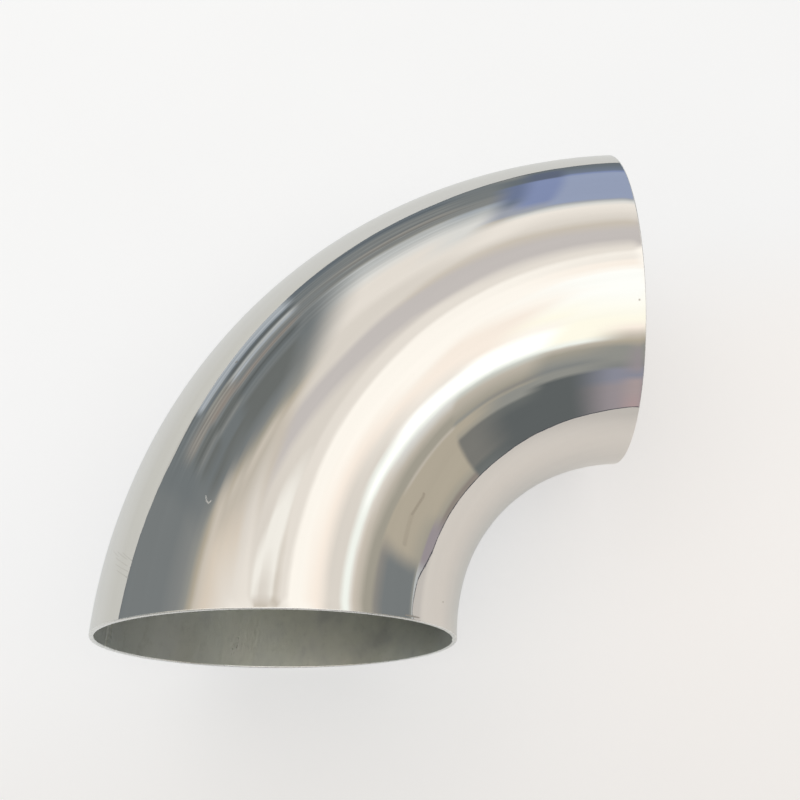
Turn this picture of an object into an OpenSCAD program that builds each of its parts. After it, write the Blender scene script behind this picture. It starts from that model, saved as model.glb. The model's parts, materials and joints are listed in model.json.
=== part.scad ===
// 90 degree butt-weld pipe elbow, thin-wall polished stainless steel.
// It lies on its side with +Z up. The origin is at the bottom centre of its bounding box.
// One open end faces -Y (towards the front) and the other faces +X (to the right).

/* [Tube] */
// Outside diameter of the tube
tube_od = 108; // [60:1:220]
// Wall thickness of the pressed sheet
wall = 1.5; // [1:0.1:3]

/* [Bend] */
// Radius of the bend, from the bend centre to the tube's centreline
bend_r = 112; // [112:1:240]

/* [Seams] */
// Width of the weld bead that joins the two half shells
weld_w = 4; // [3:0.2:6]
// Height that the root of the weld stands proud of the inside wall
weld_root_h = 0.4; // [0.3:0.1:0.6]

/* [Hidden] */

// Facets of a full circle, for the preview only
$fn = 180;
// The elbow turns the pipe through a right angle
bend_angle = 90;
// A length that reaches past the tube from its centreline
reach = tube_od;

tube_r = tube_od / 2;
bore_r = tube_r - wall;

// The bend centre lies below one corner of the box, so that the box is centred on X = Y = 0
half_box = (bend_r + tube_r) / 2;

// The weld's root is an arc that bulges into the bore and ends at the bead's two edges
weld_edge = sqrt(bore_r * bore_r - weld_w * weld_w / 4);
root_rise = weld_edge - (bore_r - weld_root_h);
root_arc_r = (weld_w * weld_w / 4 + root_rise * root_rise) / (2 * root_rise);
root_arc_centre = bore_r - weld_root_h + root_arc_r;

// Section of the tube's wall, in the plane of the section: X is away from the bend centre, Y is up
module wall_section() {
    difference() {
        circle(r = tube_r);
        circle(r = bore_r);
    }
}

// Band across the tube, as tall as the weld bead, along the plane of the bend
module weld_band() {
    square([2 * reach, weld_w], center = true);
}

// Half of the wall above the weld band
module half_section() {
    intersection() {
        wall_section();
        translate([-reach, weld_w / 2]) square([2 * reach, reach]);
    }
}

// Weld bead on the side away from the bend centre, dressed flush outside, with its root inside
module weld_section() {
    intersection() {
        circle(r = tube_r);
        translate([root_arc_centre, 0]) circle(r = root_arc_r);
        weld_band();
    }
}

// Sweeps a section of the tube round the bend, from the right-hand end to the front end
module sweep_round_bend() {
    translate([half_box, -half_box, tube_r])
        rotate([0, 0, 90])
        rotate_extrude(angle = bend_angle)
        translate([bend_r, 0])
        children();
}

// Pressed half shell on top as the elbow lies
module upper_half_shell() {
    color([0.80, 0.79, 0.77])
        sweep_round_bend() half_section();
}

// Pressed half shell underneath, on which the elbow lies
module lower_half_shell() {
    color([0.72, 0.71, 0.69])
        sweep_round_bend() mirror([0, 1]) half_section();
}

// Weld seam along the outside of the bend
module outer_seam_weld() {
    color([0.66, 0.65, 0.62])
        sweep_round_bend() weld_section();
}

// Weld seam along the inside of the bend
module inner_seam_weld() {
    color([0.66, 0.65, 0.62])
        sweep_round_bend() mirror([1, 0]) weld_section();
}

upper_half_shell();
lower_half_shell();
outer_seam_weld();
inner_seam_weld();
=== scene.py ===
# A thin-wall, mirror-polished stainless steel pipe elbow on a white table top.
# Lengths are in metres. +Z is up. The elbow's open ends face -Y (front) and +X (right).
import json
import math

import bpy
from mathutils import Matrix, Vector, noise


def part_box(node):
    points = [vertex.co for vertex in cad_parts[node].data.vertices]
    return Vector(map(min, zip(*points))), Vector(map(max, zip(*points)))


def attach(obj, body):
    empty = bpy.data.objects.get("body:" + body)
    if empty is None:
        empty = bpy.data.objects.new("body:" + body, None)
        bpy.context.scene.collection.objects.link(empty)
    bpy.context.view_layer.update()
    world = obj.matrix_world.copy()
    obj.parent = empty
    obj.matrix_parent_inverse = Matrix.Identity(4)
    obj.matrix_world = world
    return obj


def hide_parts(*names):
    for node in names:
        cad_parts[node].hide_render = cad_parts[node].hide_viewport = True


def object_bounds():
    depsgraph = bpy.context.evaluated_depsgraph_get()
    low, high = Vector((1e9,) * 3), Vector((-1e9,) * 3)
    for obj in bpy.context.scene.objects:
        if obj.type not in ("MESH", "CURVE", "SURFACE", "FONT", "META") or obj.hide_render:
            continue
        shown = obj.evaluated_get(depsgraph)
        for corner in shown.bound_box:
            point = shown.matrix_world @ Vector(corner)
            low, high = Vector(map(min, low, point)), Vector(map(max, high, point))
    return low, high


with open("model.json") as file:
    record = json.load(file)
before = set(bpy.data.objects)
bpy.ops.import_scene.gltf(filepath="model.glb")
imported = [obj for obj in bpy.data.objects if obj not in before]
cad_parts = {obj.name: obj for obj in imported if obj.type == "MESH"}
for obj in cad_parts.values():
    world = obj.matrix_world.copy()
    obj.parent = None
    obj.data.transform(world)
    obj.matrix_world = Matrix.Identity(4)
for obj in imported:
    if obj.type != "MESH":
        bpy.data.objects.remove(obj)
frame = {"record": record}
cad_low, cad_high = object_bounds()

MM = 0.001

# ---------------------------------------------------------------- sizes, from the frame
TUBE_R = (cad_high.z - cad_low.z) / 2
BEND_R = (cad_high.x - cad_low.x) - TUBE_R
BEND_CENTRE = Vector((cad_high.x, cad_low.y, cad_low.z + TUBE_R))
MOUNTS = {m["name"]: m for m in frame["record"]["mounts"]}
WALL = 2 * (cad_high.z - MOUNTS["front_end"]["pos_m"][2])
BORE_R = TUBE_R - WALL
weld_low, weld_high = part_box("outer_seam_weld")
WELD_HALF = (weld_high.z - weld_low.z) / 2
BEND_LENGTH = BEND_R * math.pi / 2

# ---------------------------------------------------------------- details of the sheet metal
LIP_R = 0.35 * MM          # rounding of the deburred edges of both rims
EASE_DEPTH = 0.05 * MM     # how far polishing has rounded off the tube towards a rim
EASE_LENGTH = 3 * MM
SHEET_WAVE = 0.22 * MM     # depth of the shallow waves that pressing and polishing leave
WAVE_LENGTH = 26 * MM
WAVE_SQUEEZE = 0.6         # below 1, the waves are longer along the bend than round the tube
BROAD_SWING = 0.42         # how far broad and fine waves swing about half the depth, over the depth
FINE_SWING = 0.04
FINE_PITCH = 2.6           # fine waves to each broad one
FINE_START = Vector((7, 3, 5))
ROOT_RISE = 0.4 * MM       # greatest height of the weld's root inside the bore
ROOT_LEVEL = 0.70          # the root's height between two ripples, over the greatest height
RIPPLE_HEIGHT = 0.10       # what a ripple adds to that
RIPPLE_PITCH = 1.7 * MM
RIPPLE_BOW = 0.35          # how far the ends of a ripple lag behind its middle, over the pitch
ROOT_MEAN = 0.85           # the root rises and sinks slowly along the seam, about this share
ROOT_SWING = 0.3
ROOT_WAVE = 9 * MM

# ---------------------------------------------------------------- fineness of the meshes
LIP_STEPS = 5              # rows of faces over each rounded lip
SHELL_FACES = (120, 160)   # faces round the tube and along the bend
WELD_FACES = (10, 960)
SLOPE_STEP = 0.05 * MM     # distance over which a surface's slope is measured


# ---------------------------------------------------------------- colours
def linear(r, g, b):
    """A colour given as 0-255 screen values, as the shader's own linear values."""
    def one(v):
        v = v / 255
        return v / 12.92 if v <= 0.04045 else ((v + 0.055) / 1.055) ** 2.4
    return (one(r), one(g), one(b))


STEEL = (0.77, 0.755, 0.735)
WHITE = (1.0, 1.0, 1.0, 1.0)


def seen(r, g, b):
    """The light that looks like this screen colour when the polished steel mirrors it."""
    return tuple(v / s for v, s in zip(linear(r, g, b), STEEL)) + (1.0,)


# ---------------------------------------------------------------- node helpers
class Tree:
    """Short calls for making and linking nodes."""

    def __init__(self, owner):
        owner.use_nodes = True
        self.nodes = owner.node_tree.nodes
        self.links = owner.node_tree.links
        self.nodes.clear()

    def node(self, kind, inputs=None, **settings):
        made = self.nodes.new(kind)
        for name, value in settings.items():
            setattr(made, name, value)
        for key, value in (inputs or {}).items():
            self.feed(made.inputs[key], value)
        return made

    def feed(self, socket, value):
        if isinstance(value, bpy.types.NodeSocket):
            self.links.new(value, socket)
        else:
            socket.default_value = value

    def maths(self, operation, a, b=0.0, clamp=False):
        made = self.node("ShaderNodeMath", {0: a, 1: b}, operation=operation, use_clamp=clamp)
        return made.outputs[0]

    def fit(self, value, low, high, to_low=0.0, to_high=1.0, smooth=False):
        """value carried from the range low to high over to another range, and held at its ends."""
        kind = "SMOOTHSTEP" if smooth else "LINEAR"
        made = self.node("ShaderNodeMapRange", {
            "Value": value, "From Min": low, "From Max": high, "To Min": to_low, "To Max": to_high,
        }, interpolation_type=kind)
        return made.outputs["Result"]

    def mix(self, factor, a, b, blend="MIX"):
        made = self.node("ShaderNodeMix", data_type="RGBA", blend_type=blend)
        for socket, value in zip((made.inputs[0], made.inputs[6], made.inputs[7]), (factor, a, b)):
            self.feed(socket, value)
        return made.outputs[2]

    def noise(self, vector, scale, detail=2.0, rough=0.5):
        made = self.node("ShaderNodeTexNoise", {
            "Vector": vector, "Scale": scale, "Detail": detail, "Roughness": rough,
        })
        return made.outputs["Fac"]

    def vectors(self, operation, inputs):
        return self.node("ShaderNodeVectorMath", inputs, operation=operation).outputs

    def scaled(self, vector, scale):
        return self.vectors("MULTIPLY", {0: vector, 1: scale})["Vector"]

    def ramp(self, value, stops, low, high):
        """Colours at places along value, which runs from low to high."""
        made = self.node("ShaderNodeValToRGB", {"Fac": self.fit(value, low, high)})
        elements = made.color_ramp.elements
        while len(elements) < len(stops):
            elements.new(0.5)
        for element, (place, colour) in zip(elements, stops):
            element.position = (place - low) / (high - low)
            element.color = colour
        return made.outputs["Color"]

    def steel(self, colour, rough, height):
        """The shader of a bare metal surface. height is its fine relief, in metres."""
        relief = self.node("ShaderNodeBump", {"Height": height, "Distance": 1.0, "Strength": 1.0})
        shader = self.node("ShaderNodeBsdfPrincipled", {
            "Base Color": colour, "Metallic": 1.0, "Roughness": rough, "Normal": relief.outputs[0],
        })
        self.node("ShaderNodeOutputMaterial", {"Surface": shader.outputs[0]})


# ---------------------------------------------------------------- camera
def make_camera():
    """The photograph's viewing angle: from the front and steeply above, held a little askew."""
    azimuth, elevation, roll = math.radians(5.29), math.radians(64.03), math.radians(-6.83)
    distance = 273.2 * MM
    target = (cad_low + cad_high) / 2 + Vector((9.0 * MM, -2.7 * MM, 0))
    back = Vector((
        math.sin(azimuth) * math.cos(elevation),
        -math.cos(azimuth) * math.cos(elevation),
        math.sin(elevation),
    ))
    data = bpy.data.cameras.new("camera")
    data.lens = 35.79
    data.sensor_width = 36.0
    data.clip_start = 0.01
    data.clip_end = 200.0
    camera = bpy.data.objects.new("camera", data)
    bpy.context.scene.collection.objects.link(camera)
    turned = (-back).to_track_quat("-Z", "Y").to_matrix().to_4x4() @ Matrix.Rotation(roll, 4, "Z")
    camera.matrix_world = Matrix.Translation(target + back * distance) @ turned
    bpy.context.scene.camera = camera


# ---------------------------------------------------------------- room that the steel mirrors
# Screen colours that the steel shows. A value above 255 is a light.
INK = (93, 97, 97)
NAVY = (94, 102, 119)
SLATE = (103, 110, 115)
IRON = (105, 108, 106)
DIM = (112, 117, 118)
LEAD = (118, 122, 122)
GREY = (130, 132, 130)
SHADE = (120, 119, 114)
DRAB = (139, 136, 130)
ASH = (144, 144, 138)
TAN = (140, 132, 124)
OLIVE = (160, 155, 142)
KHAKI = (175, 166, 149)
PUTTY = (188, 180, 167)
SAND = (200, 191, 178)
WHEAT = (214, 202, 186)
LINEN = (217, 210, 200)
PEARL = (217, 216, 211)
DOVE = (194, 188, 184)
MIST = (202, 204, 196)
CHALK = (241, 237, 228)
FROST = (241, 244, 236)
CREAM = (228, 221, 211)
IVORY = (236, 229, 219)
PEACH = (248, 236, 223)
MILK = (254, 248, 238)
PLASTER = (245, 239, 229)
SNOW = (255, 255, 249)
BUTTER = (255, 251, 233)
LAMP = (268, 268, 262)
SILVER = (184, 186, 184)
PANE = (165, 171, 176)
DUSK = (108, 119, 146)
COBALT = (129, 141, 175)
AZURE = (148, 158, 182)
HAZE = (156, 160, 170)
LAKE = (112, 122, 138)
MAUVE = (150, 142, 145)
HEATHER = (137, 138, 150)
BLUSH = (166, 152, 151)
PINK = (178, 146, 147)

# A sector of the room starts at an azimuth, in degrees clockwise from +Y as seen from above, and
# blends into the one before it over some degrees. Its stops are an elevation and a colour.
FLOOR_LOW = (-30, SLATE)      # the lowest stop of most sectors
# The highest stops of five sectors that share a pale streak overhead
STREAK = [(71, LINEN), (73.2, LINEN), (75, CHALK), (76.8, CHALK), (78.5, LINEN), (82, SAND)]
LEFT_STREAK = [(71, LINEN), (74.3, LINEN), (76.3, CHALK), (77.3, CHALK), (79, LINEN), (82, SAND)]
ROOM = [
    ("behind, left", -140, 1, [
        FLOOR_LOW, (-8, LEAD), (20, ASH), (40, WHEAT), (60, IVORY),
    ]),
    ("left wall", -92, 12, [
        FLOOR_LOW, (0, LEAD), (26, LEAD), (38, GREY), (43, ASH), (47, KHAKI), (50, SAND),
        (56, WHEAT), (68, CREAM), (72, IVORY),
    ]),
    ("grey recess", -62.5, 4, [
        FLOOR_LOW, (2, DIM), (24, DIM), (38, LEAD), (42.5, GREY), (44, ASH), (47, KHAKI),
        (50, SAND), (55, WHEAT), (68, CREAM), (72, IVORY),
    ]),
    ("dark curtain", -57, 4, [
        FLOOR_LOW, (4, DIM), (8, GREY), (11, DRAB), (16, DRAB), (18, LEAD), (19.5, IRON),
        (23, IRON), (26, GREY), (28, LEAD), (30, IRON), (36, DIM), (40, IRON), (44, LEAD),
        (47, PUTTY), (50, SAND), (53, PUTTY), (60, WHEAT), (70, CREAM),
    ]),
    ("window post", -51, 2, [
        (-30, SILVER), (-1, PANE), (3, PANE), (4, LEAD), (6, SLATE), (8.5, ASH), (17, TAN),
        (20, LEAD), (22, IRON), (25, IRON), (28, GREY), (30, DIM), (36, DIM), (38, IRON),
        (47, LEAD), (51, KHAKI), (53, SAND), (56, PUTTY), (60, SAND), (64, WHEAT), (70, CREAM),
    ]),
    ("window", -45, 3, [
        (-30, SILVER), (-3, PANE), (2.5, PANE), (4, SLATE), (6, INK), (8, LEAD), (9.5, SILVER),
        (12, PANE), (14, GREY), (16, LEAD), (19, TAN), (21, LEAD), (24, INK), (27, DIM), (30, LEAD),
        (33, IRON), (43, IRON), (47, LEAD), (50, GREY), (53, OLIVE), (56, SAND), (59, PUTTY),
        (66, LINEN), (72, CREAM),
    ]),
    ("grey door", -32, 3, [
        FLOOR_LOW, (-2, SLATE), (3, LEAD), (6, DIM), (10, GREY), (14, LEAD), (18, GREY), (21, LEAD),
        (28, LEAD), (31, DIM), (36, LEAD), (44, GREY), (53, ASH), (56, KHAKI), (59, SAND),
        (66, SAND), (72, LINEN),
    ]),
    ("cream wall", -24.5, 12, [
        FLOOR_LOW, (-3, SLATE), (0, DIM), (2, GREY), (4, LEAD), (6, GREY), (8, LEAD), (11, DRAB),
        (14, GREY), (16.5, GREY), (18, ASH), (20, SILVER), (24, SILVER), (30, PEARL), (36, CREAM),
        (46, CREAM), (51, LINEN), (60, LINEN), (63.5, DOVE), (68, DOVE), *LEFT_STREAK,
    ]),
    ("shaded corner", -7, 5, [
        FLOOR_LOW, (4, LEAD), (9, LEAD), (12, GREY), (17, GREY), (20, PANE), (25, SILVER),
        (32, PEARL), (38, PEARL), (46, CREAM), (52, LINEN), (58, LINEN), (62, DOVE), (68, DOVE),
        *STREAK,
    ]),
    ("screen's dark side", -0.8, 4, [
        FLOOR_LOW, (-9, GREY), (-6, LEAD), (-3, SLATE), (3, SLATE), (5, DUSK), (18, DUSK),
        (24, LAKE), (30, HAZE), (34, HAZE), (36, PUTTY), (39, LINEN), (41, CREAM), (47, CREAM),
        (54, LINEN), (59, SAND), (62, DOVE), (68, DOVE), *STREAK,
    ]),
    ("blue screen", 2.4, 3, [
        FLOOR_LOW, (-9, SLATE), (-6, NAVY), (3, NAVY), (5, COBALT), (28, COBALT), (33, HAZE),
        (34.5, HAZE), (36, SILVER), (37.5, PEARL), (39.5, IVORY), (48, IVORY), (52, LINEN),
        (57, SAND), (61, DOVE), (68, DOVE), *STREAK,
    ]),
    ("bright screen", 6.8, 2, [
        FLOOR_LOW, (-8, SLATE), (1, LAKE), (3, COBALT), (5, AZURE), (33, AZURE), (34, HAZE),
        (35.2, SILVER), (37, PEARL), (39.5, IVORY), (45, CREAM), (50, LINEN), (54, SAND),
        (60, DOVE), (68, DOVE), *STREAK,
    ]),
    ("far right wall", 30, 12, [
        FLOOR_LOW, (-4, LEAD), (16, ASH), (30, PUTTY), (40, LINEN), (51, DOVE), (65, DOVE),
        (70, CREAM), (74, CREAM), (77.5, SAND),
    ]),
    ("right wall", 53, 10, [
        FLOOR_LOW, (-4, LEAD), (20, ASH), (36, SAND), (44, CREAM), (58, PEACH), (66, MILK),
        (70, MILK), (77, CREAM),
    ]),
    ("white sill", 72, 6, [
        (-30, SILVER), (-8.5, SILVER), (-8, ASH), (-6, LEAD), (14, LEAD), (20, DRAB), (23, OLIVE),
        (27, OLIVE), (31, PUTTY), (34, SAND), (36, LINEN), (38.5, FROST), (40.5, FROST),
        (44, LINEN), (50, LINEN), (57, PEACH), (63, MILK), (71, MILK), (76, PEACH),
    ]),
    ("khaki wall", 88, 4, [
        (-30, MAUVE), (-10, MAUVE), (-8, OLIVE), (3, KHAKI), (22, KHAKI), (23.3, OLIVE),
        (26, OLIVE), (31, PUTTY), (36, LINEN), (38, FROST), (40, LAMP), (43, FROST), (46, LINEN),
        (51, CREAM), (55, PEACH), (60, MILK), (77, MILK),
    ]),
    ("lit khaki wall", 97, 5, [
        (-30, TAN), (-15, TAN), (-12.5, OLIVE), (-6, KHAKI), (20, KHAKI), (21.5, PUTTY),
        (23.2, OLIVE), (27, OLIVE), (31, PUTTY), (36, PEARL), (38, FROST), (40, LAMP), (45, LAMP),
        (48, IVORY), (54, PEACH), (60, PEACH), (66, MILK), (72, SNOW), (76, SNOW),
    ]),
    ("shelf", 111.8, 1.5, [
        (-30, LEAD), (-12, IRON), (-8, SHADE), (12.5, SHADE), (14.5, OLIVE), (18, KHAKI),
        (21.2, KHAKI), (22.8, ASH), (25, OLIVE), (33, PUTTY), (36, MIST), (38, FROST), (40, LAMP),
        (47, LAMP), (51, PEACH), (61, PEACH), (66, MILK), (70, SNOW), (76, SNOW),
    ]),
    ("doorway", 120.5, 13, [
        (-30, INK), (6, INK), (12.5, IRON), (14.5, ASH), (20, ASH), (21.3, OLIVE), (23, DRAB),
        (25.5, OLIVE), (33, PUTTY), (36, MIST), (38, FROST), (40, LAMP), (47, LAMP), (51, MILK),
        (56, BUTTER), (66, SNOW), (76, SNOW),
    ]),
    ("recess", 134, 8, [
        (-30, INK), (16, INK), (18.5, ASH), (21.5, ASH), (24, GREY), (27, ASH), (33, OLIVE),
        (36, PUTTY), (38, FROST), (41, BUTTER), (50, BUTTER), (66, SNOW), (76, SNOW),
    ]),
    ("cupboard", 150, 14, [
        (-30, MAUVE), (4, MAUVE), (10, HEATHER), (16, HEATHER), (19, GREY), (24, ASH), (32, ASH),
        (36, KHAKI), (40, SAND), (45, PEACH), (50, BUTTER), (66, SNOW),
    ]),
    ("pink board", 160, 8, [
        (-30, PINK), (0, BLUSH), (8, BLUSH), (12, HEATHER), (17, MAUVE), (30, MAUVE), (36, KHAKI),
        (41, SAND), (47, PEACH), (56, MILK),
    ]),
    ("behind, right", 182, 16, [
        FLOOR_LOW, (-8, LEAD), (20, ASH), (40, PUTTY), (56, PEACH),
    ]),
]
CEILING = (90, PLASTER)
ROOM_LOW, ROOM_HIGH = FLOOR_LOW[0], CEILING[0]
FIRST_AZIMUTH = ROOM[0][1]

# Where two sectors meet, they blend over at least this many degrees above the second elevation.
# Below the first one they blend over their own number.
BLEND_FROM, BLEND_TO = 32.0, 46.0
HIGH_BLEND = 10.0

# The window's side of the room is streaked with light and dark slats. Each pair of azimuths or
# elevations says where they begin to show and where they show in full.
SLAT_WIDTH, SLAT_HEIGHT = 34.0, 1.5
SLAT_DARK, SLAT_BRIGHT = 0.78, 1.22
SLATS_TOP = (34.0, 16.0)
SLATS_RIGHT = (-1.0, -10.0)
SLATS_LEFT = (-61.0, -53.0)
BACKDROP = linear(247, 246, 244) + (1.0,)     # what the camera sees past the floor


def directions_in_room(t):
    """The azimuth and the elevation, in degrees, of the direction that a ray takes into the room."""
    direction = t.node("ShaderNodeTexCoord").outputs["Generated"]
    rise = t.node("ShaderNodeSeparateXYZ", {0: direction}).outputs["Z"]
    elevation = t.maths("MULTIPLY", t.maths("ARCSINE", rise), math.degrees(1))
    # Azimuths run from the first sector's start all the way round, with no jump in between.
    opposite = 180 + FIRST_AZIMUTH
    turned = t.node("ShaderNodeVectorRotate", {
        "Vector": direction, "Angle": math.radians(opposite),
    }, rotation_type="Z_AXIS")
    flat = t.node("ShaderNodeSeparateXYZ", {0: turned.outputs[0]})
    angle = t.maths("ARCTAN2", flat.outputs["X"], flat.outputs["Y"])
    azimuth = t.maths("ADD", t.maths("MULTIPLY", angle, math.degrees(1)), opposite)
    return azimuth, elevation


def sectors_colour(t, azimuth, elevation):
    """The colours of the room's sectors, each blended into the one before it."""
    colour = None
    for _, start, soft, stops in ROOM:
        shown = [(place, seen(*colour_there)) for place, colour_there in [*stops, CEILING]]
        own = t.ramp(elevation, shown, ROOM_LOW, ROOM_HIGH)
        if colour is None:
            colour = own
        else:
            half = t.fit(elevation, BLEND_FROM, BLEND_TO, soft / 2, max(soft, HIGH_BLEND) / 2)
            from_start = t.maths("DIVIDE", t.maths("SUBTRACT", azimuth, start), half)
            colour = t.mix(t.fit(from_start, -1.0, 1.0, smooth=True), colour, own)
    return colour


def with_slats(t, azimuth, elevation, colour):
    where = t.node("ShaderNodeCombineXYZ", {
        0: t.maths("DIVIDE", azimuth, SLAT_WIDTH),
        1: t.maths("DIVIDE", elevation, SLAT_HEIGHT),
    })
    shade = t.fit(t.noise(where.outputs[0], 1.0), 0.3, 0.7, SLAT_DARK, SLAT_BRIGHT)
    among = t.maths("MULTIPLY", t.fit(elevation, *SLATS_TOP), t.fit(azimuth, *SLATS_RIGHT))
    among = t.maths("MULTIPLY", among, t.fit(azimuth, *SLATS_LEFT))
    return t.mix(among, colour, t.scaled(colour, shade))


def make_room():
    """The world: the room for reflections and light, and a plain pale backdrop for the camera."""
    world = bpy.data.worlds.new("room")
    bpy.context.scene.world = world
    t = Tree(world)
    azimuth, elevation = directions_in_room(t)
    colour = with_slats(t, azimuth, elevation, sectors_colour(t, azimuth, elevation))
    to_camera = t.node("ShaderNodeLightPath").outputs["Is Camera Ray"]
    colour = t.mix(to_camera, colour, BACKDROP)
    background = t.node("ShaderNodeBackground", {"Color": colour, "Strength": 1.0})
    t.node("ShaderNodeOutputWorld", {"Surface": background.outputs[0]})


# ---------------------------------------------------------------- table top
# Outline of the part of the table that is clear of other things, in metres
TABLE_EDGE = [(-0.86, 0.09), (-1.5, 0.6), (-3.8, 2.4), (-1.6, 1.4), (-0.8, 1.06), (-0.4, 0.87),
              (-0.1, 0.8), (0.1, 0.55), (0.2, 0.5), (0.5, 0.2), (0.55, 0.01), (0.47, -0.04),
              (0.36, -0.058), (0.28, -0.07), (0.25, -0.13), (0.21, -0.25), (0.18, -0.36),
              (0.18, -0.65), (-0.45, -0.65), (-0.7, -0.1)]
EDGE_SCALE = 1.035         # the table's shaded edge, as a multiple of that outline
TABLE_LIFT = 0.01 * MM     # small heights that keep the flat sheets apart
EDGE_LIFT = 0.005 * MM
FLOOR_REACH = 60.0         # how far the floor runs each way, in metres


def laminate_material(name, glow, colour, tints):
    """Matt white laminate with a very faint mottle. Each tint, painted light and shade, takes over
    along an axis, from one place to another, in metres. glow is light of the sheet's own, which
    lifts its shadows."""
    material = bpy.data.materials.new(name)
    t = Tree(material)
    position = t.node("ShaderNodeNewGeometry").outputs["Position"]
    parts = t.node("ShaderNodeSeparateXYZ", {0: position})
    base = colour + (1,)
    for axis, start, end, tint in tints:
        # Painted light and shade: each tint makes the sheet lighter or darker where more or less
        # light falls
        base = t.mix(t.fit(parts.outputs[axis], start, end, smooth=True), base, tint + (1,))
    cloud = t.fit(t.noise(position, 9.0, detail=3.0), 0.3, 0.7)
    shade = t.mix(1.0, base, t.mix(cloud, (0.99, 0.99, 0.99, 1), WHITE), blend="MULTIPLY")
    matt = t.node("ShaderNodeBsdfDiffuse", {"Color": shade, "Roughness": 0.4})
    lift = t.node("ShaderNodeEmission", {"Color": shade, "Strength": glow})
    both = t.node("ShaderNodeAddShader", {0: matt.outputs[0], 1: lift.outputs[0]})
    t.node("ShaderNodeOutputMaterial", {"Surface": both.outputs[0]})
    return material


def flat_mesh(name, corners, height, material):
    mesh = bpy.data.meshes.new(name)
    mesh.from_pydata([(x, y, height) for x, y in corners], [], [tuple(range(len(corners)))])
    mesh.materials.append(material)
    made = bpy.data.objects.new(name, mesh)
    bpy.context.scene.collection.objects.link(made)
    return made


def make_floor():
    """A wide pale floor for the camera, and a table top with edges for the steel to mirror."""
    # Painted shade: the floor is painted darker towards the front and warmer to the right, where
    # less light falls
    pale = laminate_material("pale_floor", 0.92, (0.527, 0.534, 0.545), [
        ("X", 0.0, 0.12, (0.527, 0.518, 0.515)),
        ("Y", 0.03, 0.12, (0.527, 0.534, 0.545)),
        ("Y", -0.03, -0.2, (0.49, 0.483, 0.48)),
    ])
    square = [(x * FLOOR_REACH, y * FLOOR_REACH) for x, y in ((-1, -1), (1, -1), (1, 1), (-1, 1))]
    floor = flat_mesh("floor", square, 0.0, pale)
    floor.visible_glossy = False
    # Painted light and shade on the table top: a lighter, warmer pool of light to the right, darker
    # beyond it and to the left, and a painted shadow of the elbow towards the front
    laminate = laminate_material("table_laminate", 0.2, (0.69, 0.715, 0.73), [
        ("X", 0.0, 0.12, (0.79, 0.77, 0.755)),
        ("X", 0.24, 0.34, (0.67, 0.655, 0.65)),
        ("Y", 0.06, 0.2, (0.69, 0.715, 0.73)),
        ("X", -0.1, -0.4, (0.66, 0.68, 0.675)),
        ("Y", -0.08, -0.24, (0.645, 0.63, 0.62)),
    ])
    table = flat_mesh("table_top", TABLE_EDGE, TABLE_LIFT, laminate)
    shaded = laminate_material("table_edge_shade", 0.0, (0.10, 0.11, 0.14), [])
    wider = [(EDGE_SCALE * x, EDGE_SCALE * y) for x, y in TABLE_EDGE]
    edge = flat_mesh("table_edge", wider, EDGE_LIFT, shaded)
    for sheet in (table, edge):
        sheet.visible_camera = False
        sheet.visible_diffuse = False
        sheet.visible_shadow = False


def make_window_light():
    """A large soft light from behind and to the left. The steel doesn't mirror it."""
    data = bpy.data.lights.new("window_light", "AREA")
    data.shape = "DISK"
    data.size = 1.6
    data.energy = 4.5
    data.color = (0.96, 0.98, 1.0)
    light = bpy.data.objects.new("window_light", data)
    light.location = (-0.7, 0.9, 1.3)
    light.rotation_mode = "QUATERNION"
    light.rotation_quaternion = (-light.location).to_track_quat("-Z", "Y")
    light.visible_glossy = False
    bpy.context.scene.collection.objects.link(light)


# ---------------------------------------------------------------- swept sheet metal
def place(turn, radius, angle):
    """A point at a turn round the bend (0 at the front end, 1 at the right end), a radius from
    the tube's centreline, and an angle round the tube (0 away from the bend centre, 90 up)."""
    out = math.pi - turn * math.pi / 2
    from_axis = BEND_R + radius * math.cos(angle)
    return BEND_CENTRE + Vector((
        from_axis * math.cos(out),
        from_axis * math.sin(out),
        radius * math.sin(angle),
    ))


def straightened(turn, radius, angle):
    """The same point if the bend were pulled straight, with the tube's centreline along X."""
    return Vector((turn * BEND_LENGTH, radius * math.cos(angle), radius * math.sin(angle)))


def stations(count):
    """Turns round the bend: evenly spaced, with a few more over the two rounded lips."""
    lip_turn = LIP_R / BEND_LENGTH
    lip = [lip_turn * (1 - math.cos(math.pi / 2 * k / LIP_STEPS)) for k in range(LIP_STEPS)]
    middle = [lip_turn + (1 - 2 * lip_turn) * k / count for k in range(count + 1)]
    return lip + middle + [1 - turn for turn in reversed(lip)]


def lip_inset(turn):
    """How far the surface has drawn back into the wall at a rounded lip."""
    from_end = min(turn, 1 - turn) * BEND_LENGTH
    if from_end >= LIP_R:
        return 0.0
    return LIP_R - math.sqrt(max(0.0, LIP_R ** 2 - (LIP_R - from_end) ** 2))


def sheet_wave(turn, angle):
    """Depth, always inwards, of the shallow waves in the pressed and polished sheet."""
    where = straightened(turn, TUBE_R, angle) / WAVE_LENGTH
    where.x *= WAVE_SQUEEZE
    waves = BROAD_SWING * noise.noise(where)
    waves += FINE_SWING * noise.noise(where * FINE_PITCH + FINE_START)
    from_end = min(turn, 1 - turn) * BEND_LENGTH
    ease = max(0.0, 1 - from_end / EASE_LENGTH)
    return SHEET_WAVE * max(0.0, 0.5 + waves) + EASE_DEPTH * ease * ease


def outside(turn, angle):
    return TUBE_R - sheet_wave(turn, angle)


def bore(turn, angle):
    return BORE_R


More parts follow.
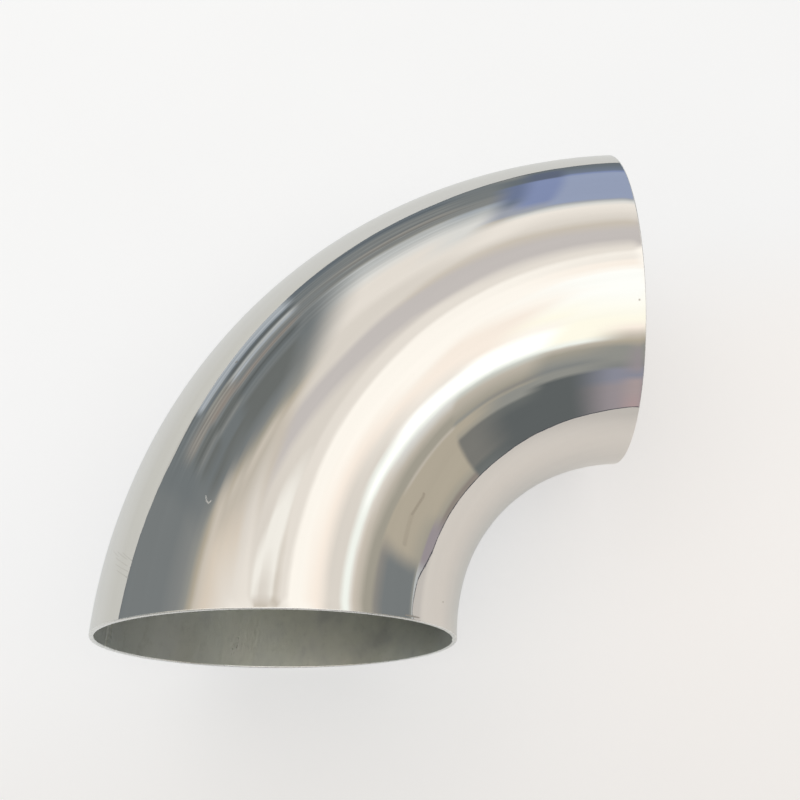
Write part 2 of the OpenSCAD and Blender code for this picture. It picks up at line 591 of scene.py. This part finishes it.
def weld_root(turn, angle):
    """Radius of the bore over a weld's rippled root, whose middle is at angle 0 or half a turn."""
    side = math.sin(angle) * BORE_R / WELD_HALF
    crown = max(0.0, 1 - side * side)
    along = turn * (BEND_R + math.cos(angle) * BORE_R) * math.pi / 2
    phase = along / RIPPLE_PITCH + RIPPLE_BOW * side * side
    ripple = 0.5 + 0.5 * math.cos(2 * math.pi * phase)
    uneven = ROOT_MEAN + ROOT_SWING * noise.noise(Vector((along / ROOT_WAVE, 0, math.cos(angle))))
    level = ROOT_LEVEL + RIPPLE_HEIGHT * ripple
    return BORE_R - ROOT_RISE * math.sqrt(crown) * level * uneven


# Where each kind of face finds its material among the materials of a piece
OUTSIDE, INSIDE, RIM = range(3)


class Skin:
    """Grids of points that share one closed mesh, each grid with its own material."""

    def __init__(self):
        self.index, self.points, self.flow = {}, [], []
        self.faces, self.kinds, self.normals = [], [], []

    def vertex(self, point, flow):
        key = tuple(round(c * 1e7) for c in point)
        if key not in self.index:
            self.index[key] = len(self.points)
            self.points.append(point)
            self.flow.append(flow)
        return self.index[key]

    def grid(self, rows, kind, flip):
        """rows holds rows of (point, flow, normal). flip turns the faces over."""
        found = [[(self.vertex(p, f), tuple(n)) for p, f, n in row] for row in rows]
        for near, far in zip(found, found[1:]):
            for j in range(len(near) - 1):
                corners = [near[j], far[j], far[j + 1], near[j + 1]]
                corners = corners[::-1] if flip else corners
                self.faces.append([v for v, n in corners])
                self.normals.extend(n for v, n in corners)
                self.kinds.append(kind)

    def object(self, name, materials):
        mesh = bpy.data.meshes.new(name)
        mesh.from_pydata(self.points, [], self.faces)
        for material in materials:
            mesh.materials.append(material)
        mesh.polygons.foreach_set("material_index", self.kinds)
        mesh.polygons.foreach_set("use_smooth", [True] * len(self.faces))
        flow = mesh.attributes.new("pipe", "FLOAT_VECTOR", "POINT")
        flow.data.foreach_set("vector", [c for v in self.flow for c in v])
        mesh.normals_split_custom_set(self.normals)
        made = bpy.data.objects.new(name, mesh)
        bpy.context.scene.collection.objects.link(made)
        return made


def directions(turn, angle):
    """Unit vectors at a point of the tube: away from its centreline, along it, and round it."""
    out = math.pi - turn * math.pi / 2
    level = Vector((math.cos(out), math.sin(out), 0))
    away = level * math.cos(angle) + Vector((0, 0, math.sin(angle)))
    along = Vector((math.sin(out), -math.cos(out), 0))
    around = Vector((0, 0, math.cos(angle))) - level * math.sin(angle)
    return away, along, around


def surface_row(radius_of, turn, angles, facing):
    """One row across a skin: points, straightened points and exact normals. facing is 1 outside
    and -1 inside."""
    inset = lip_inset(turn) * facing
    from_end = min(turn, 1 - turn) * BEND_LENGTH
    rounded = max(0.0, 1 - from_end / LIP_R)
    row = []
    for angle in angles:
        radius = radius_of(turn, angle)
        length = (BEND_R + radius * math.cos(angle)) * math.pi / 2
        part = SLOPE_STEP / length
        climb_along = radius_of(turn + part, angle) - radius_of(turn - part, angle)
        turned = SLOPE_STEP / radius
        climb_around = radius_of(turn, angle + turned) - radius_of(turn, angle - turned)
        slope_along = climb_along / (2 * SLOPE_STEP)
        slope_around = climb_around / (2 * SLOPE_STEP)
        away, along, around = directions(turn, angle)
        normal = (away - along * slope_along - around * slope_around).normalized() * facing
        end = along if turn > 0.5 else -along
        normal = normal * math.sqrt(1 - rounded * rounded) + end * rounded
        at = radius - inset
        row.append((place(turn, at, angle), straightened(turn, at, angle), normal))
    return row


def spread(low, high, count):
    return [low + (high - low) * k / count for k in range(count + 1)]


def half_skin(limits, radius_out, radius_in, faces_around, faces_along):
    """A closed strip of the wall, from one angle round the tube to another: outside, inside, rims
    and the two long edges. limits holds the angles for the outside and those for the inside."""
    turns = stations(faces_along)
    last = len(turns) - 1
    (out_low, out_high), (in_low, in_high) = limits
    out_angles = spread(out_low, out_high, faces_around)
    in_angles = spread(in_low, in_high, faces_around)
    outer = [surface_row(radius_out, turn, out_angles, 1) for turn in turns]
    inner = [surface_row(radius_in, turn, in_angles, -1) for turn in turns]
    skin = Skin()
    for rows, kind, flip in ((outer, OUTSIDE, True), (inner, INSIDE, False)):
        skin.grid(rows[:LIP_STEPS + 1], RIM, flip)
        skin.grid(rows[LIP_STEPS:last - LIP_STEPS + 1], kind, flip)
        skin.grid(rows[last - LIP_STEPS:], RIM, flip)
    skin.grid([inner[0], outer[0]], RIM, True)
    skin.grid([outer[last], inner[last]], RIM, True)
    for edge, side, angle in ((0, -1, out_low), (faces_around, 1, out_high)):
        rows = []
        for wall in (outer, inner):
            rows.append([(row[edge][0], row[edge][1], directions(turn, angle)[2] * side)
                         for turn, row in zip(turns, wall)])
        skin.grid(rows, INSIDE, side < 0)
    return skin


# Half the angle that a weld spans, outside and inside
WELD_EDGES = (math.asin(WELD_HALF / TUBE_R), math.asin(WELD_HALF / BORE_R))


def make_shell(name, node, side, materials):
    """One pressed half of the elbow: the upper one if side is 1, the lower one if it is -1."""
    limits = [(edge, math.pi - edge) for edge in WELD_EDGES]
    if side < 0:
        limits = [(-high, -low) for low, high in limits]
    shell = half_skin(limits, outside, bore, *SHELL_FACES).object(name, materials)
    finish_piece(shell, node)


def make_weld(name, node, middle, materials):
    """The bead along one seam: dressed flush and polished outside, rippled at its root inside."""
    limits = [(middle - edge, middle + edge) for edge in WELD_EDGES]
    weld = half_skin(limits, outside, weld_root, *WELD_FACES).object(name, materials)
    finish_piece(weld, node)


def finish_piece(piece, node):
    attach(piece, "root")
    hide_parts(node)


# ---------------------------------------------------------------- metal finishes
# Small marks on the upper shell, and painted shade along a crease, as lines between two places: turn
# round the bend (0 at the front end, 1 at the right end) and degrees round the tube (0 away from the
# bend centre, 90 up)
HOOK = [((0.1500, 75.0), (0.1435, 75.8)), ((0.1435, 75.8), (0.1410, 76.6)),
        ((0.1410, 76.6), (0.1445, 77.1))]
HOOK_HALF_WIDTH = 0.34 * MM
HAIRLINES = [((0.086, 39), (0.076, 45)), ((0.083, 43), (0.070, 51)), ((0.080, 47), (0.067, 54)),
             ((0.076, 43), (0.062, 52)), ((0.068, 44), (0.055, 53)), ((0.060, 46), (0.047, 54))]
# The next two lines are painted shade: a darker line where a crease shows; the mesh has no crease
CREASE = [((0.295, 135.0), (0.286, 135.2)), ((0.286, 135.2), (0.254, 134.5)),
          ((0.254, 134.5), (0.236, 134.0))]
CREASE_END = [((0.236, 134.0), (0.204, 134.2)), ((0.204, 134.2), (0.165, 134.6))]
PITS = [((0.0080, 138.3), (0.0085, 143.8)), ((0.0710, 157), (0.0725, 157)),
        ((0.985, 118), (0.986, 118)), ((0.345, 60), (0.346, 60.2))]
# The dark marks, and the painted shade along the crease: lines, half their width, and strength
DARK_MARKS = [
    (HAIRLINES, 0.16 * MM, 0.3),
    (PITS, 0.45 * MM, 1.0),
    (CREASE, 0.7 * MM, 0.5),
    (CREASE_END, 1.1 * MM, 0.22),
]
LINE_CORE = 0.4            # the part of a line's width at full strength
# Colour of the dark marks and of the painted crease shade
DARK_MARK = (0.25, 0.20, 0.16, 1)
BRIGHT_MARK = (0.97, 0.97, 0.97, 1)

# Scales of the polish's noises, per metre: along the bend, and twice across it
BUFFING_LINES = (60.0, 1400.0, 1400.0)
STREAKS = (12.0, 300.0, 300.0)
DIMPLES = (60.0, 150.0, 150.0)
STREAK_RELIEF, DIMPLE_RELIEF = 2.5, 9.0       # depths, over the buffing lines' depth


def line_mask(t, pipe, start, end, half_width):
    """1 on the short straight line between two places, which are turn round the bend and degrees
    round the tube, and 0 beyond half_width of it."""
    a, b = (straightened(turn, TUBE_R, math.radians(angle)) for turn, angle in (start, end))
    run = b - a
    from_a = t.vectors("SUBTRACT", {0: pipe, 1: a})["Vector"]
    part = t.vectors("DOT_PRODUCT", {0: from_a, 1: run / run.length_squared})["Value"]
    part = t.maths("ADD", part, 0.0, clamp=True)
    nearest = t.vectors("SCALE", {0: run, "Scale": part})["Vector"]
    apart = t.vectors("DISTANCE", {0: from_a, 1: nearest})["Value"]
    return t.fit(apart, half_width, half_width * LINE_CORE)


def all_lines(t, pipe, lines, half_width):
    mask = 0.0
    for start, end in lines:
        mask = t.maths("MAXIMUM", mask, line_mask(t, pipe, start, end, half_width))
    return mask


def polished_material(name, dullness=1.0, marked=False):
    """Mirror-polished stainless steel: cloudy gloss, and fine buffing lines along the bend. marked
    adds the small marks and the painted shade along a crease."""
    material = bpy.data.materials.new(name)
    t = Tree(material)
    pipe = t.node("ShaderNodeAttribute", attribute_name="pipe").outputs["Vector"]
    cloud = t.noise(pipe, 28.0, detail=3.0)
    buffing = t.noise(t.scaled(pipe, BUFFING_LINES), 1.0, detail=2.0)
    streaks = t.noise(t.scaled(pipe, STREAKS), 1.0, detail=3.0)
    dimples = t.noise(t.scaled(pipe, DIMPLES), 1.0, detail=2.0)
    rough = t.fit(cloud, 0.3, 0.7, 0.012 * dullness, 0.030 * dullness)
    rough = t.maths("ADD", rough, t.fit(streaks, 0.35, 0.75, -0.004, 0.010))
    rough = t.maths("ADD", rough, t.fit(buffing, 0.45, 0.8, 0.0, 0.008))
    darker, paler = (tuple(share * c for c in STEEL) + (1,) for share in (0.985, 1.012))
    tint = t.mix(t.fit(streaks, 0.3, 0.7), darker, paler)
    height = t.maths("ADD", buffing, t.maths("MULTIPLY", streaks, STREAK_RELIEF))
    height = t.maths("ADD", height, t.maths("MULTIPLY", dimples, DIMPLE_RELIEF))
    if marked:
        # dark holds the dark marks and the painted shade along the crease
        dark = 0.0
        for lines, half_width, strength in DARK_MARKS:
            mark = t.maths("MULTIPLY", all_lines(t, pipe, lines, half_width), strength)
            dark = t.maths("MAXIMUM", dark, mark)
        bright = all_lines(t, pipe, HOOK, HOOK_HALF_WIDTH)
        tint = t.mix(t.maths("MULTIPLY", dark, 0.5), tint, DARK_MARK)
        tint = t.mix(bright, tint, BRIGHT_MARK)
        rough = t.maths("ADD", rough, t.maths("MULTIPLY", t.maths("MAXIMUM", dark, bright), 0.35))
    t.steel(tint, rough, t.maths("MULTIPLY", height, 0.0012 * MM))
    return material


def pickled_material():
    """The inside as pressed and pickled: dull grey steel with soft stains, painted lighter and bluer
    towards the sides as painted light.
    """
    material = bpy.data.materials.new("pickled_steel")
    t = Tree(material)
    pipe = t.node("ShaderNodeAttribute", attribute_name="pipe").outputs["Vector"]
    stain = t.noise(t.scaled(pipe, (55.0, 80.0, 80.0)), 1.0, detail=3.0, rough=0.5)
    speckle = t.noise(pipe, 420.0, detail=3.0)
    grain = t.noise(pipe, 1500.0, detail=3.0)
    shade = t.ramp(stain, [
        (0.34, (0.50, 0.51, 0.49, 1)),
        (0.45, (0.62, 0.63, 0.585, 1)),
        (0.56, (0.69, 0.70, 0.635, 1)),
        (0.68, (0.78, 0.78, 0.72, 1)),
    ], 0.0, 1.0)
    # Painted light: the wall is painted lighter and bluer towards the sides
    across = t.node("ShaderNodeSeparateXYZ", {0: pipe}).outputs["Y"]
    to_side = t.fit(t.maths("ABSOLUTE", across), 0.5 * TUBE_R, TUBE_R, 0.0, 0.85)
    shade = t.mix(to_side, shade, (0.80, 0.83, 0.85, 1))
    shade = t.mix(t.fit(speckle, 0.55, 0.75, 0.0, 0.25), shade, (0.45, 0.46, 0.43, 1))
    rough = t.maths("ADD", t.fit(grain, 0.3, 0.7, 0.30, 0.40), t.fit(stain, 0.3, 0.7, 0.08, -0.04))
    t.steel(shade, rough, t.maths("MULTIPLY", t.maths("ADD", grain, speckle), 0.004 * MM))
    return material


def rim_material():
    """Cut and deburred edge: bright satin steel with small nicks."""
    material = bpy.data.materials.new("cut_rim")
    t = Tree(material)
    position = t.node("ShaderNodeNewGeometry").outputs["Position"]
    nicks = t.noise(position, 900.0, detail=3.0)
    shade = t.mix(t.fit(nicks, 0.35, 0.7), (0.85, 0.85, 0.84, 1), (0.94, 0.94, 0.93, 1))
    t.steel(shade, t.fit(nicks, 0.3, 0.7, 0.22, 0.34), t.maths("MULTIPLY", nicks, 0.02 * MM))
    return material


def root_material():
    """The weld's root: pickled like the wall beside it, with a trace of heat tint. Its pale
    blue-grey also copies the painted light on that wall's sides.
    """
    material = bpy.data.materials.new("weld_root")
    t = Tree(material)
    pipe = t.node("ShaderNodeAttribute", attribute_name="pipe").outputs["Vector"]
    tint = t.noise(t.scaled(pipe, (300.0, 900.0, 900.0)), 1.0, detail=2.0)
    shade = t.ramp(tint, [
        (0.32, (0.72, 0.75, 0.78, 1)),
        (0.46, (0.77, 0.80, 0.81, 1)),
        (0.62, (0.79, 0.79, 0.76, 1)),
    ], 0.0, 1.0)
    fine = t.noise(pipe, 2200.0, detail=2.0)
    t.steel(shade, t.fit(fine, 0.3, 0.7, 0.32, 0.42), t.maths("MULTIPLY", fine, 0.005 * MM))
    return material


# ---------------------------------------------------------------- the scene
def build():
    make_camera()
    make_room()
    make_floor()
    make_window_light()
    bpy.context.scene.view_settings.view_transform = "Standard"
    inside, rim, root = pickled_material(), rim_material(), root_material()
    sheet = [polished_material("polished_steel"), inside, rim]
    marked_sheet = [polished_material("polished_steel_with_marks_and_crease_shade", marked=True), inside, rim]
    seam = [polished_material("polished_weld", dullness=1.25), root, rim]
    make_shell("upper_half_shell_skin", "upper_half_shell", 1, marked_sheet)
    make_shell("lower_half_shell_skin", "lower_half_shell", -1, sheet)
    make_weld("outer_seam_weld_skin", "outer_seam_weld", 0.0, seam)
    make_weld("inner_seam_weld_skin", "inner_seam_weld", math.pi, seam)


build()
